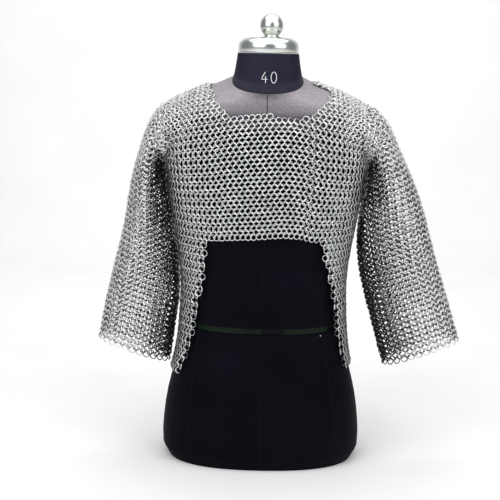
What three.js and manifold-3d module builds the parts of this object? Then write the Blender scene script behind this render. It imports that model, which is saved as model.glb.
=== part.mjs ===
// A short mail shirt with three-quarter sleeves, worn by a limbless dress form.
// Millimetres, +Z up, the front faces -Y, the viewer's left is -X.
// The origin is the middle of the form's flat base.
import * as THREE from "three";
import { mergeVertices } from "three/addons/utils/BufferGeometryUtils.js";
import Module from "manifold-3d";

const wasm = await Module();
wasm.setup();

// Driving dimensions of the mail.
const MAIL_THICK = 6; // the links lean, so the cloth is far thicker than its wire
const CLEAR = 0.4; // between the form and the mail that lies on it
const SEAM = 0.3; // between two pieces of mail at a seam
const RIDGE_Y = 5; // the plane of the shoulder ridge and of the side seams
const HEM_SPLIT = 439.6; // height where the front panel ends and the side tails begin
const HEM_BACK_LEFT = 172; // height of the lower hem at the viewer's left
const HEM_BACK_RIGHT = 188; // and at the viewer's right
const HEM_REACH = 260; // the outlines run this far past the sides

// Driving dimensions of the dress form.
const BODY_SQUARE = 2.35; // exponent of the body's oval sections, 2 is an ellipse
const WAIST_LOW = 262; // top of the lower section
const WAIST_HIGH = 275; // bottom of the upper section
const NECK_SEAM = 734; // height of the neck seam at the sides
const NECK_TOP = 785;
const CAP_RADIUS = 57.6;
const CAP_HEIGHT = 29.5;
const CAP_ROUND = 22; // how far in the cap's rounded shoulder reaches
const CAP_SHOULDER = 17; // and how far down
const BALL_RADIUS = 22.4;
const BALL_CENTRE = 836;
const BALL_ASIDE = 5; // the ball is screwed on a little off the middle
const BALL_FOOT_RADIUS = 15;
const BALL_FOOT = 2; // height of the ball's straight foot
const BALL_ARC_END = 84; // degrees above the ball's middle, then straight to the top
const BAND_INSET = 9; // the waist band lies this far inside the skin

// The form's level sections: height, half width, reach to the front and to the back,
// how far the section leans back (rise for each mm of depth), and how far the hanging
// mail stands off the form there.
const BODY = [
  { level: 0, half: 182, front: 113, back: 123, lean: 0, ease: 0 },
  { level: 5, half: 189.5, front: 119.5, back: 130, lean: 0, ease: 0 },
  { level: 15, half: 193.5, front: 123, back: 134, lean: 0, ease: 0 },
  { level: 40, half: 195.5, front: 125, back: 137, lean: 0, ease: 0 },
  { level: 80, half: 193, front: 124.5, back: 137, lean: 0, ease: 0 },
  { level: 120, half: 187.5, front: 122, back: 133, lean: 0, ease: 0 },
  { level: 160, half: 178.5, front: 117, back: 126, lean: 0, ease: 0 },
  { level: 190, half: 170, front: 112, back: 118, lean: 0, ease: 0 },
  { level: 215, half: 163.5, front: 108, back: 111, lean: 0, ease: 1 },
  { level: 240, half: 158, front: 104.5, back: 104, lean: 0, ease: 3 },
  { level: 275, half: 152, front: 100, back: 95.5, lean: 0, ease: 6 },
  { level: 305, half: 149, front: 98, back: 91.5, lean: 0, ease: 7 },
  { level: 340, half: 148.5, front: 98, back: 90, lean: 0, ease: 6.5 },
  { level: 380, half: 152, front: 100, back: 92.5, lean: 0, ease: 5 },
  { level: 430, half: 160, front: 105, back: 98, lean: 0, ease: 4 },
  { level: 460, half: 166, front: 108, back: 103, lean: 0, ease: 3.5 },
  { level: 500, half: 173.5, front: 111.5, back: 109, lean: 0, ease: 2.3 },
  { level: 540, half: 182, front: 114, back: 114, lean: 0, ease: 1 },
  { level: 580, half: 188.5, front: 114.5, back: 118, lean: 0, ease: 0 },
  { level: 620, half: 192, front: 111, back: 119, lean: 0, ease: 0 },
  { level: 650, half: 195, front: 104, back: 115, lean: 0.03, ease: 0 },
  { level: 668, half: 196, front: 98, back: 109, lean: 0.06, ease: 0 },
  { level: 680, half: 193.5, front: 92.5, back: 104, lean: 0.08, ease: 0 },
  { level: 687, half: 188.5, front: 89.5, back: 100, lean: 0.1, ease: 0 },
  { level: 693, half: 177, front: 86.5, back: 96, lean: 0.12, ease: 0 },
  { level: 701, half: 158, front: 82.5, back: 90, lean: 0.15, ease: 0 },
  { level: 709.5, half: 135, front: 78, back: 83, lean: 0.18, ease: 0 },
  { level: 716.5, half: 114, front: 74.5, back: 76, lean: 0.22, ease: 0 },
  { level: 724, half: 91, front: 71, back: 69, lean: 0.28, ease: 0 },
  { level: 734, half: 67, front: 68, back: 60, lean: 0.33, ease: 0 },
];

// The neck above its seam, by the same columns.
const NECK = [
  { level: 734, half: 67, front: 68, back: 60, lean: 0.33 },
  { level: 745, half: 64.5, front: 65, back: 59, lean: 0.24 },
  { level: 760, half: 61.5, front: 61.8, back: 58.5, lean: 0.13 },
  { level: 775, half: 59.3, front: 59.4, back: 58.2, lean: 0.04 },
  { level: 785, half: 58, front: 58, back: 58, lean: 0 },
];

// The armhole is an egg seen from the side, broad end up, on the body's surface. Under
// the arm it laps beside the body.
const ARMHOLE = { top: 691, bottom: 589, depth: 83, egg: 0.24, lap: 7.2 };
const LAP_START = 0.55;

// Sleeve sections from the shoulder to the cuff, each an oval through an outer and an
// inner point of the front view, with its half depth. Left and right hang differently.
const SLEEVE_RIGHT = [
  { outerX: 213, outerZ: 681.5, innerX: 200.5, innerZ: 587, depth: 78 },
  { outerX: 228.5, outerZ: 661.5, innerX: 200.5, innerZ: 580, depth: 78 },
  { outerX: 240.5, outerZ: 633.5, innerX: 199.5, innerZ: 571, depth: 77 },
  { outerX: 259, outerZ: 594, innerX: 197.3, innerZ: 556, depth: 76 },
  { outerX: 279, outerZ: 553, innerX: 192.7, innerZ: 528, depth: 71 },
  { outerX: 298, outerZ: 508, innerX: 185.6, innerZ: 487, depth: 66 },
  { outerX: 314.8, outerZ: 455.7, innerX: 181.5, innerZ: 430, depth: 58 },
  { outerX: 331.9, outerZ: 398.3, innerX: 187.5, innerZ: 371, depth: 54 },
  { outerX: 351.9, outerZ: 340.6, innerX: 203.5, innerZ: 310, depth: 51 },
  { outerX: 369.5, outerZ: 287, innerX: 222, innerZ: 246, depth: 50 },
  { outerX: 387, outerZ: 234, innerX: 241, innerZ: 182, depth: 50 },
];
const SLEEVE_LEFT = [
  { outerX: 204, outerZ: 683, innerX: 200.5, innerZ: 587, depth: 79 },
  { outerX: 214.5, outerZ: 667, innerX: 201.7, innerZ: 580, depth: 80 },
  { outerX: 223.5, outerZ: 646, innerX: 202, innerZ: 572, depth: 80 },
  { outerX: 236, outerZ: 611, innerX: 200.5, innerZ: 560, depth: 82 },
  { outerX: 248.5, outerZ: 567, innerX: 196, innerZ: 541, depth: 82 },
  { outerX: 258.5, outerZ: 520, innerX: 188.2, innerZ: 503, depth: 76 },
  { outerX: 267.5, outerZ: 463, innerX: 178.5, innerZ: 445, depth: 68 },
  { outerX: 281, outerZ: 406, innerX: 169.2, innerZ: 383, depth: 60 },
  { outerX: 294.5, outerZ: 355, innerX: 167.2, innerZ: 327, depth: 54 },
  { outerX: 308, outerZ: 297, innerX: 173.5, innerZ: 256, depth: 51 },
  { outerX: 321, outerZ: 226, innerX: 184.5, innerZ: 180, depth: 50 },
];
const SLEEVE_SQUARE = 2.2;

// Outlines in the front view, x and z of each point from the viewer's left.
const FRONT_HEM = [
  [-104, 439.6],
  [-69, 442.6],
  [-21, 446.2],
  [16, 449.2],
  [49, 449.9],
  [80, 446.5],
  [103, 440],
];
const FRONT_NECKLINE = [
  [-107, 718],
  [-92.6, 697],
  [-78.2, 681],
  [-66, 672.5],
  [-40, 674.5],
  [0, 675],
  [27, 672],
  [61, 670],
  [75, 674],
  [88.2, 684],
  [101, 695],
  [112.3, 703],
  [121, 718],
];
const BACK_NECKLINE = [
  [-107, 718],
  [-95, 723],
  [-76, 731.5],
  [-40, 738],
  [0, 739],
  [40, 738],
  [84, 730],
  [108, 723],
  [121, 718],
];
const TAIL_LEFT_EDGE = [
  [-104, 439.3],
  [-107.7, 412],
  [-114.2, 358.5],
  [-126.8, 299],
  [-133.7, 249],
  [-145.4, 213.6],
  [-153.7, 186],
  [-159.7, 171.5],
];
const TAIL_RIGHT_EDGE = [
  [103, 439.3],
  [117.6, 396.5],
  [129, 346],
  [137.1, 306],
  [140.9, 278],
  [151, 226],
  [156, 204],
  [159.5, 189],
];

// Numbers of steps round and along each surface.
const BODY_ROUND = 40;
const UPPER_LEVELS = 16;
const LOWER_LEVELS = 10;
const NECK_LEVELS = 4;
const SLEEVE_HALF_ROUND = 13;
const SLEEVE_LENGTH_STEPS = 17;
const LATHE_ROUND = 30;
const ARC_STEPS = 5;
const OUTLINE_STEPS = 20;
const NECKLINE_STEPS = 30;
const TAIL_STEPS = 16;
const FINE_STEPS = 600;

const DEG = Math.PI / 180;

function material(color, roughness, metalness) {
  return new THREE.MeshStandardMaterial({ color, roughness, metalness });
}

// Signed power, which squares off the round sections.
function bulge(value, square) {
  return Math.sign(value) * Math.abs(value) ** (2 / square);
}

// Monotone cubic through a column of a table, as a function of its level.
function column(table, name) {
  const at = table.map((row) => row.level);
  const value = table.map((row) => row[name]);
  const last = table.length - 1;
  const step = (i) => (value[i + 1] - value[i]) / (at[i + 1] - at[i]);
  const slope = value.map((_, i) => {
    if (i === 0) return step(0);
    if (i === last) return step(last - 1);
    const before = step(i - 1);
    const after = step(i);
    return before * after <= 0 ? 0 : (2 * before * after) / (before + after);
  });
  return (level) => {
    let i = 0;
    while (i < last - 1 && level > at[i + 1]) i += 1;
    const width = at[i + 1] - at[i];
    const t = (level - at[i]) / width;
    const rise = value[i + 1] - value[i];
    const a = width * slope[i] - rise;
    const b = rise - width * slope[i + 1];
    return value[i] + rise * t + t * (1 - t) * ((1 - t) * a + t * b);
  };
}

// A surface of oval sections: turn 0 is +X, -90 degrees is the front.
function ovals(table) {
  const half = column(table, "half");
  const front = column(table, "front");
  const back = column(table, "back");
  const lean = column(table, "lean");
  return (turn, level) => {
    const x = half(level) * bulge(Math.cos(turn), BODY_SQUARE);
    const side = Math.sin(turn);
    const reach = side < 0 ? front(level) : back(level);
    const y = reach * bulge(side, BODY_SQUARE);
    return new THREE.Vector3(x, y + RIDGE_Y, level + lean(level) * y);
  };
}

const bodySkin = ovals(BODY);
const bodyEase = column(BODY, "ease");

// A point of the body, moved out along the surface's normal.
function bodyPoint(turn, level, out) {
  const small = 0.002;
  const rise = 0.5;
  const low = Math.max(level - rise, BODY[0].level);
  const high = Math.min(level + rise, BODY[BODY.length - 1].level);
  const round = bodySkin(turn + small, level).sub(bodySkin(turn - small, level));
  const up = bodySkin(turn, high).sub(bodySkin(turn, low));
  const normal = round.cross(up).normalize();
  return bodySkin(turn, level).addScaledVector(normal, out);
}

// The mail on the body: depth 0 is its middle, -1 its inner face and 1 its outer one.
function mailPoint(turn, level, depth) {
  const half = MAIL_THICK / 2;
  return bodyPoint(turn, level, CLEAR + bodyEase(level) + half + depth * half);
}

// Levels at equal steps along the side outline, so that the flat shoulders get enough.
function levelsBetween(from, to, count) {
  const half = column(BODY, "half");
  const length = [0];
  for (let i = 1; i <= FINE_STEPS; i += 1) {
    const z = from + ((to - from) * i) / FINE_STEPS;
    const before = from + ((to - from) * (i - 1)) / FINE_STEPS;
    length.push(length[i - 1] + Math.hypot(z - before, half(z) - half(before)));
  }
  const levels = [];
  for (let k = 0; k <= count; k += 1) {
    const wanted = (length[FINE_STEPS] * k) / count;
    const i = length.findIndex((l) => l >= wanted - 1e-9);
    levels.push(from + ((to - from) * i) / FINE_STEPS);
  }
  return levels;
}

// Geometry from a grid of rings, closed round, with a point at each end.
function closedLoft(rings) {
  const round = rings[0].length;
  const points = rings.flat();
  const faces = [];
  for (let k = 0; k + 1 < rings.length; k += 1) {
    for (let i = 0; i < round; i += 1) {
      const a = k * round + i;
      const b = k * round + ((i + 1) % round);
      faces.push([a, b, b + round], [a, b + round, a + round]);
    }
  }
  const middle = (ring) => {
    const sum = ring.reduce((total, p) => total.add(p), new THREE.Vector3());
    return sum.divideScalar(ring.length);
  };
  const low = points.push(middle(rings[0])) - 1;
  const high = points.push(middle(rings[rings.length - 1])) - 1;
  const top = (rings.length - 1) * round;
  for (let i = 0; i < round; i += 1) {
    const next = (i + 1) % round;
    faces.push([low, next, i], [high, top + i, top + next]);
  }
  return solidGeometry(points, faces);
}

// A wall between two grids of points, outer and inner, with its four edges closed.
function wall(outer, inner) {
  const rows = outer.length;
  const cols = outer[0].length;
  const points = [...outer.flat(), ...inner.flat()];
  const shift = rows * cols;
  const faces = [];
  const quad = (a, b, c, d) => faces.push([a, b, c], [a, c, d]);
  for (let k = 0; k + 1 < rows; k += 1) {
    for (let i = 0; i + 1 < cols; i += 1) {
      const a = k * cols + i;
      quad(a, a + 1, a + cols + 1, a + cols);
      quad(a + shift, a + cols + shift, a + cols + 1 + shift, a + 1 + shift);
    }
  }
  for (let i = 0; i + 1 < cols; i += 1) {
    const top = (rows - 1) * cols + i;
    quad(i + 1, i, i + shift, i + 1 + shift);
    quad(top, top + 1, top + 1 + shift, top + shift);
  }
  for (let k = 0; k + 1 < rows; k += 1) {
    const a = k * cols;
    const b = a + cols - 1;
    quad(a, a + cols, a + cols + shift, a + shift);
    quad(b + cols, b, b + shift, b + cols + shift);
  }
  return solidGeometry(points, faces);
}

function solidGeometry(points, faces) {
  const positions = new Float32Array(points.length * 3);
  points.forEach((p, i) => p.toArray(positions, i * 3));
  const geometry = new THREE.BufferGeometry();
  geometry.setAttribute("position", new THREE.BufferAttribute(positions, 3));
  geometry.setIndex(faces.flat());
  return geometry;
}

function toSolid(geometry) {
  const bare = geometry.clone();
  bare.deleteAttribute("normal");
  bare.deleteAttribute("uv");
  const merged = mergeVertices(bare, 1e-4);
  const vertProperties = merged.attributes.position.array;
  const triVerts = new Uint32Array(merged.index.array);
  return new wasm.Manifold(new wasm.Mesh({ numProp: 3, vertProperties, triVerts }));
}

function toGeometry(solid) {
  const mesh = solid.getMesh();
  const geometry = new THREE.BufferGeometry();
  geometry.setAttribute("position", new THREE.BufferAttribute(mesh.vertProperties, 3));
  geometry.setIndex(new THREE.BufferAttribute(mesh.triVerts, 1));
  return geometry;
}

// A smooth line through outline points, as 2-D points for a Shape.
function smooth(outline, steps) {
  const points = outline.map(([x, z]) => new THREE.Vector2(x, z));
  return new THREE.SplineCurve(points).getPoints(steps);
}

// An outline of the front view, cut straight through from one depth to another.
function cutThrough(outline, fromY, toY) {
  const shape = new THREE.Shape(outline);
  const depth = toY - fromY;
  const geometry = new THREE.ExtrudeGeometry(shape, { depth, bevelEnabled: false });
  geometry.rotateX(90 * DEG);
  geometry.translate(0, toY, 0);
  return toSolid(geometry);
}

const lowerLevels = levelsBetween(0, WAIST_LOW, LOWER_LEVELS);
const upperLevels = levelsBetween(WAIST_HIGH, NECK_SEAM, UPPER_LEVELS);

function bodyRings(levels, place) {
  return levels.map((level) => {
    const ring = [];
    for (let i = 0; i < BODY_ROUND; i += 1) {
      ring.push(place(((i + 0.5) / BODY_ROUND) * 360 * DEG, level));
    }
    return ring;
  });
}

// The whole torso of mail, before it is cut into panels. It has the form's own levels,
// so that its facets lie along the form's.
function mailShell() {
  const low = lowerLevels.filter((level) => level > HEM_BACK_LEFT - 20);
  const levels = [...low, ...upperLevels];
  const face = (depth) => {
    return toSolid(closedLoft(bodyRings(levels, (turn, level) => mailPoint(turn, level, depth))));
  };
  return face(1).subtract(face(-1));
}

// Where the body's middle surface of mail passes a given depth and height, on +X.
function mailSide(y, z) {
  const half = column(BODY, "half");
  let turn = 0;
  let level = z;
  for (let i = 0; i < 40; i += 1) {
    const p = mailPoint(turn, level, 0);
    level += (z - p.z) * 0.7;
    turn += ((y - p.y) / half(level)) * 0.7;
  }
  return mailPoint(turn, level, 0);
}

// One ring of a sleeve, from its table row. Turn 0 is the outer point, 90 the front.
function sleeveRing(row, turn) {
  const across = bulge(Math.cos(turn), SLEEVE_SQUARE) / 2;
  const x = (row.outerX + row.innerX) / 2 + (row.outerX - row.innerX) * across;
  const z = (row.outerZ + row.innerZ) / 2 + (row.outerZ - row.innerZ) * across;
  const y = RIDGE_Y - row.depth * bulge(Math.sin(turn), SLEEVE_SQUARE);
  return new THREE.Vector3(x, y, z);
}

// The first ring lies in the body's surface, and beside it under the arm.
function armholeRing(turn) {
  const mid = (ARMHOLE.top + ARMHOLE.bottom) / 2;
  const z = mid + ((ARMHOLE.top - ARMHOLE.bottom) / 2) * Math.cos(turn);
  const broad = 1 + ARMHOLE.egg * Math.cos(turn);
  const y = RIDGE_Y - ARMHOLE.depth * broad * Math.sin(turn);
  const under = Math.max(0, (1 - Math.cos(turn)) / 2 - LAP_START) / (1 - LAP_START);
  const point = mailSide(y, z);
  point.x += ARMHOLE.lap * under * under * (3 - 2 * under);
  return point;
}

// The sleeve's middle surface, by the turn round it and the share of its length.
function sleeveLine(table, turn) {
  const points = [armholeRing(turn), ...table.map((row) => sleeveRing(row, turn))];
  return new THREE.CatmullRomCurve3(points, false, "catmullrom", 0.5);
}

// A normal's two directions are read this far round and along.
const NEAR_TURN = 0.01;
const NEAR_SHARE = 0.004;

// Both faces of a stretch of sleeve, half the wall and a little more out and in.
function sleeveFaces(table, turns, shares, out) {
  const grid = (sign) => {
    return shares.map((share) => {
      return turns.map((turn) => {
        const before = sleeveLine(table, turn - NEAR_TURN).getPoint(share);
        const after = sleeveLine(table, turn + NEAR_TURN).getPoint(share);
        const line = sleeveLine(table, turn);
        const along = line
          .getPoint(Math.min(share + NEAR_SHARE, 1))
          .sub(line.getPoint(Math.max(share - NEAR_SHARE, 0)));
        const normal = after.sub(before).cross(along).normalize();
        return line.getPoint(share).addScaledVector(normal, sign * out);
      });
    });
  };
  return { outer: grid(1), inner: grid(-1) };
}

const sleeveShares = [];
for (let k = 0; k <= SLEEVE_LENGTH_STEPS; k += 1) {
  sleeveShares.push(k / SLEEVE_LENGTH_STEPS);
}

// Mirrors a geometry to the viewer's left and turns its faces out again.
function mirrored(geometry) {
  const flipped = geometry.clone().scale(-1, 1, 1);
  const index = flipped.index.array;
  for (let i = 0; i < index.length; i += 3) {
    [index[i], index[i + 1]] = [index[i + 1], index[i]];
  }
  return flipped;
}

// The seam's gap becomes a turn at about the sleeve's own radius.
const SEAM_TURN_RADIUS = 70;

// Half a sleeve, front or back, between the top seam and the seam under the arm.
function sleeveHalf(table, fromTurn) {
  const seamTurn = SEAM / 2 / SEAM_TURN_RADIUS;
  const turns = [];
  for (let i = 0; i <= SLEEVE_HALF_ROUND; i += 1) {
    const span = 180 * DEG - 2 * seamTurn;
    turns.push(fromTurn + seamTurn + (span * i) / SLEEVE_HALF_ROUND);
  }
  const { outer, inner } = sleeveFaces(table, turns, sleeveShares, MAIL_THICK / 2);
  return wall(outer, inner);
}

// The whole sleeve as a filled solid, a seam's gap larger, to cut the armhole with.
function armholeCutter(table) {
  const turns = [];
  for (let i = 0; i < 2 * SLEEVE_HALF_ROUND; i += 1) {
    turns.push((i / SLEEVE_HALF_ROUND) * 180 * DEG);
  }
  const { outer, inner } = sleeveFaces(table, turns, sleeveShares, MAIL_THICK / 2 + SEAM);
  const extended = (rows) => {
    return rows[0].map((point, i) => {
      const away = point.clone().sub(rows[1][i]).normalize();
      return point.clone().addScaledVector(away, SEAM * 1.5);
    });
  };
  return closedLoft([extended(inner), extended(outer), ...outer]);
}

// Panels of the mail body, each an outline of the front view.
const PAST_BODY = 200;
const toFront = [-PAST_BODY, RIDGE_Y - SEAM / 2];
const toBack = [RIDGE_Y + SEAM / 2, PAST_BODY];
const wide = HEM_REACH;
const topLevel = 800;
const [neckLeft] = FRONT_NECKLINE[0];
const [neckRight] = FRONT_NECKLINE[FRONT_NECKLINE.length - 1];
const v2 = (x, z) => new THREE.Vector2(x, z);

const frontOutline = [
  v2(-wide, HEM_SPLIT),
  ...smooth(FRONT_HEM, OUTLINE_STEPS),
  v2(wide, HEM_SPLIT),
  v2(wide, topLevel),
  v2(neckRight, topLevel),
  ...smooth(FRONT_NECKLINE, NECKLINE_STEPS).reverse(),
  v2(neckLeft, topLevel),
  v2(-wide, topLevel),
];
const backOutline = [
  v2(-wide, HEM_BACK_LEFT),
  v2(wide, HEM_BACK_RIGHT),
  v2(wide, topLevel),
  v2(neckRight, topLevel),
  ...smooth(BACK_NECKLINE, OUTLINE_STEPS).reverse(),
  v2(neckLeft, topLevel),
  v2(-wide, topLevel),
];
const tailLeftOutline = [
  v2(-wide, HEM_SPLIT - SEAM),
  v2(-wide, HEM_BACK_LEFT),
  ...smooth(TAIL_LEFT_EDGE, TAIL_STEPS).reverse(),
];
const tailRightOutline = [
  v2(wide, HEM_SPLIT - SEAM),
  ...smooth(TAIL_RIGHT_EDGE, TAIL_STEPS),
  v2(wide, HEM_BACK_RIGHT),
];

const shell = mailShell();
const rightCutter = armholeCutter(SLEEVE_RIGHT);
const leftCutter = mirrored(armholeCutter(SLEEVE_LEFT));
const torso = shell.subtract(toSolid(rightCutter)).subtract(toSolid(leftCutter));

function panel(outline, [fromY, toY]) {
  const pieces = torso.intersect(cutThrough(outline, fromY, toY)).decompose();
  pieces.sort((a, b) => b.volume() - a.volume());
  return toGeometry(pieces[0]);
}

// The dress form's solids.
function formSection(levels) {
  return closedLoft(bodyRings(levels, (turn, level) => bodySkin(turn, level)));
}

function waistBand() {
  const levels = [WAIST_LOW + SEAM, WAIST_HIGH - SEAM];
  const middle = new THREE.Vector3(0, RIDGE_Y, 0);
  return closedLoft(
    bodyRings(levels, (turn, level) => {
      const point = bodySkin(turn, level);
      middle.z = level;
      const reach = point.distanceTo(middle);
      return point.lerp(middle, BAND_INSET / reach);
    }),
  );
}

function neck() {
  const skin = ovals(NECK);
  const rings = [];
  for (let k = 0; k <= NECK_LEVELS; k += 1) {
    const level = NECK_SEAM + ((NECK_TOP - NECK_SEAM) * k) / NECK_LEVELS;
    const lift = k === 0 ? SEAM : 0;
    const ring = [];
    for (let i = 0; i < BODY_ROUND; i += 1) {
      const point = skin(((i + 0.5) / BODY_ROUND) * 360 * DEG, level);
      point.z += lift;
      ring.push(point);
    }
    rings.push(ring);
  }
  return closedLoft(rings);
}

function lathe(profile) {
  const points = profile.map(([r, z]) => new THREE.Vector2(r, z));
  const geometry = new THREE.LatheGeometry(points, LATHE_ROUND);
  geometry.rotateX(90 * DEG);
  geometry.translate(0, RIDGE_Y, 0);
  return geometry;
}

function arc(radius, centreR, centreZ, fromDeg, toDeg, steps, tall = radius) {
  const points = [];
  for (let i = 0; i <= steps; i += 1) {
    const angle = (fromDeg + ((toDeg - fromDeg) * i) / steps) * DEG;
    points.push([centreR + radius * Math.cos(angle), centreZ + tall * Math.sin(angle)]);
  }
  return points;
}

const CAP_LOW = NECK_TOP + SEAM;
const CAP_TOP = NECK_TOP + CAP_HEIGHT;

function cap() {
  return lathe([
    [0, CAP_LOW],
    [CAP_RADIUS, CAP_LOW],
    ...arc(CAP_ROUND, CAP_RADIUS - CAP_ROUND, CAP_TOP - CAP_SHOULDER, 0, 90, ARC_STEPS, CAP_SHOULDER),
    [0, CAP_TOP],
  ]);
}

function ball() {
  const foot = CAP_TOP + SEAM;
  const meets = Math.acos((BALL_FOOT_RADIUS - 2) / BALL_RADIUS) / DEG;
  return lathe([
    [0, foot],
    [BALL_FOOT_RADIUS, foot],
    [BALL_FOOT_RADIUS, foot + BALL_FOOT],
    ...arc(BALL_RADIUS, 0, BALL_CENTRE, -meets, BALL_ARC_END, 2 * ARC_STEPS),
    [0, BALL_CENTRE + BALL_RADIUS],
  ]).translate(BALL_ASIDE, 0, 0);
}

const steel = () => material(0xa9adb2, 0.35, 1);
const jersey = () => material(0x14161c, 0.75, 0);
const chrome = () => material(0xd9dbdc, 0.12, 1);
const green = () => material(0x12301f, 0.6, 0);

const part = new THREE.Group();

function add(name, geometry, finish) {
  const mesh = new THREE.Mesh(geometry, finish);
  mesh.name = name;
  part.add(mesh);
}

add("form_lower", formSection(lowerLevels), jersey());
add("form_waist_band", waistBand(), green());
add("form_upper", formSection(upperLevels), jersey());
add("form_neck", neck(), jersey());
add("form_cap", cap(), chrome());
add("form_ball", ball(), chrome());

add("mail_front", panel(frontOutline, toFront), steel());
add("mail_back", panel(backOutline, toBack), steel());
add("mail_tail_left", panel(tailLeftOutline, toFront), steel());
add("mail_tail_right", panel(tailRightOutline, toFront), steel());
add("mail_sleeve_right_front", sleeveHalf(SLEEVE_RIGHT, 0), steel());
add("mail_sleeve_right_back", sleeveHalf(SLEEVE_RIGHT, 180 * DEG), steel());
add("mail_sleeve_left_front", mirrored(sleeveHalf(SLEEVE_LEFT, 0)), steel());
add("mail_sleeve_left_back", mirrored(sleeveHalf(SLEEVE_LEFT, 180 * DEG)), steel());

export default part;
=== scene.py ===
import math

import bmesh
import bpy
import numpy as np
from mathutils import Matrix, Vector
from mathutils.bvhtree import BVHTree
from mathutils.kdtree import KDTree


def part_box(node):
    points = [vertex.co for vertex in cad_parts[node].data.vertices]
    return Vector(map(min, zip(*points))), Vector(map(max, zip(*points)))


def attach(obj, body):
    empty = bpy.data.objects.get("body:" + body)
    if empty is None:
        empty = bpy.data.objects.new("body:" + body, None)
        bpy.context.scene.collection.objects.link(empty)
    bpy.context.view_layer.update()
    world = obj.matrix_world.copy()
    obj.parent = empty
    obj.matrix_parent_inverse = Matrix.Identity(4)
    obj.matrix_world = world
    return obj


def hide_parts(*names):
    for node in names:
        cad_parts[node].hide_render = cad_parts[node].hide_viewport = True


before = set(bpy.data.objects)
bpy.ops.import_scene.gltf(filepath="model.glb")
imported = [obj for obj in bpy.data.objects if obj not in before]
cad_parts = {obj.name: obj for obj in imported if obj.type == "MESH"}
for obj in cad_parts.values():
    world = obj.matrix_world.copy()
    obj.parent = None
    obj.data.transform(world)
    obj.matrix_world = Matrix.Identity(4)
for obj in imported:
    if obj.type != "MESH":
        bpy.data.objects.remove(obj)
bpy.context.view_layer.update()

# Everything is in metres. The front faces -Y, and left and right are the viewer's.

# The form's upright axis.
AXIS_Y = 0.005

# A mail ring, its place in a row, and the distance between rows. Each ring passes through
# two rings of the row above and two of the row below, and leans to clear them.
RING_RADIUS = 0.0062
WIRE = 0.002
RING_STEP = 0.0112
ROW_STEP = 0.0079
RING_LEAN = math.radians(26)
RING_SIDES = 11
WIRE_SIDES = 4
# Half across the corners of the four-sided wire, so that it is as wide as a round one.
CORNER_SHARE = 1.11
WIRE_CORNER = WIRE / 2 * CORNER_SHARE
RING_OUTSIDE = RING_RADIUS + WIRE_CORNER
MOST_RINGS_IN_A_PIECE = 1900

# How far single rings stray from the pattern.
STRAY_PLACE = 0.0002
STRAY_LEAN = math.radians(4)
STRAY_TILT = math.radians(6)
SEED = 40

# Half of the mail's thickness, from its inside to its middle.
HALF_MAIL = 0.0034
# Rings nearer to each other than this don't both fit, and a ring needs cloth this far
# round its middle.
LEAST_APART = 0.0062
FIT_REACH = 0.0042
WALL_REACH = 0.008
PAST_SEAM = 0.001

# The shirt's body. Up to SPLIT_LEVEL the columns of rings share out the girth, and above
# it they run straight up over the shoulders, in upright planes in which rays fan out.
LOWEST_LEVEL = 0.15
SPLIT_LEVEL = 0.6
LEVEL_STEP = 0.005
GIRTH_TURN = math.radians(3)
FAN_STEP = math.radians(2.5)
FAN_END = math.radians(102)
SHOULDER_REACH = 0.184
LONGEST_STEP = 0.010
CORNER_LEVEL = 0.4396
HEM_TOP_LEVEL = 0.457
ROWS_BELOW_CORNER = 34
ROWS_ABOVE_CORNER = 46
# Rows are a little further apart at the middle of the front and closer at the sides.
CENTRE_STRETCH = 0.03
SIDE_SQUEEZE = 0.10
SIDE = 0.15
HIP_HALF_WIDTH = 0.19
FORM_CLEARANCE = 0.0004
MOST_EASE = 0.012
HEM_PLACES = 24
# The body's grids are softened over so many neighbours along each axis.
BODY_SOFTENING = ((1, 5), (0, 3))

# Planes across each sleeve from the shoulder to the cuff: the middle of the sleeve in each,
# outwards and up, and the angle in degrees at which the plane rises outwards.
SLEEVE_PLANES = {
    "right": [
        (0.170, 0.640, 90), (0.190, 0.640, 89), (0.2067, 0.634, 82), (0.2145, 0.621, 71),
        (0.220, 0.602, 57), (0.228, 0.575, 32), (0.236, 0.5405, 16), (0.242, 0.4975, 11),
        (0.248, 0.443, 11), (0.260, 0.385, 11), (0.278, 0.325, 12), (0.296, 0.2665, 15.5),
        (0.3137, 0.2090, 19.6),
    ],
    "left": [
        (0.170, 0.640, 90), (0.190, 0.640, 90), (0.2022, 0.635, 88), (0.208, 0.6235, 82),
        (0.2127, 0.609, 74), (0.218, 0.5855, 55), (0.222, 0.554, 26), (0.2233, 0.5115, 14),
        (0.223, 0.454, 11.4), (0.225, 0.3945, 11.6), (0.231, 0.341, 12.4),
        (0.241, 0.2765, 17), (0.2525, 0.2040, 18.6),
    ],
}
# The front of each sleeve swells in front of the body's side, down to where the arm parts
# from it: at most this far, round this turn from the outer side, and fading over these levels.
SWELL = {"right": 0.0065, "left": 0.0090}
SWELL_TURN = math.radians(140)
SWELL_WIDTH = math.radians(30)
SWELL_LEVELS = {"right": (0.40, 0.45), "left": (0.27, 0.31)}
SLEEVE_ROWS = 54
# The rings of a sleeve's front sit this share of a step up from the back's, half each way.
SLEEVE_SHIFT = 0.5
SLEEVE_LENGTH = 0.62
SLEEVE_SAMPLES = 110
SLEEVE_TURNS = 72
# A sleeve's grid is softened over so many neighbours along each axis, where they lie no
# further apart than this.
SLEEVE_SOFTENING = ((0, 2), (1, 4))
SLEEVE_LONGEST_STEP = 0.012

# Where a sleeve and the body's side face each other their rings get painted shade: from this much of a turn
# towards the other, and at most this much, falling away over these levels under the arm.
SLEEVE_PAINTED_SHADE = (-0.2, 0.75)
BODY_PAINTED_SHADE = (0.5, 0.5)
PAINTED_SHADE_LEVELS = (0.56, 0.63)
# Below the shoulder, a sleeve's painted light is cut to this share: painted shade over the whole sleeve,
# so that only rings that face further outwards stay light.
SLEEVE_PAINTED_LIGHT = 0.76

# The levels of the form's neck seam and the neck's top, and how far the seam rises for each
# metre back.
NECK_SEAM = 0.734
NECK_TOP = 0.785
NECK_LEAN = 0.33
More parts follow.
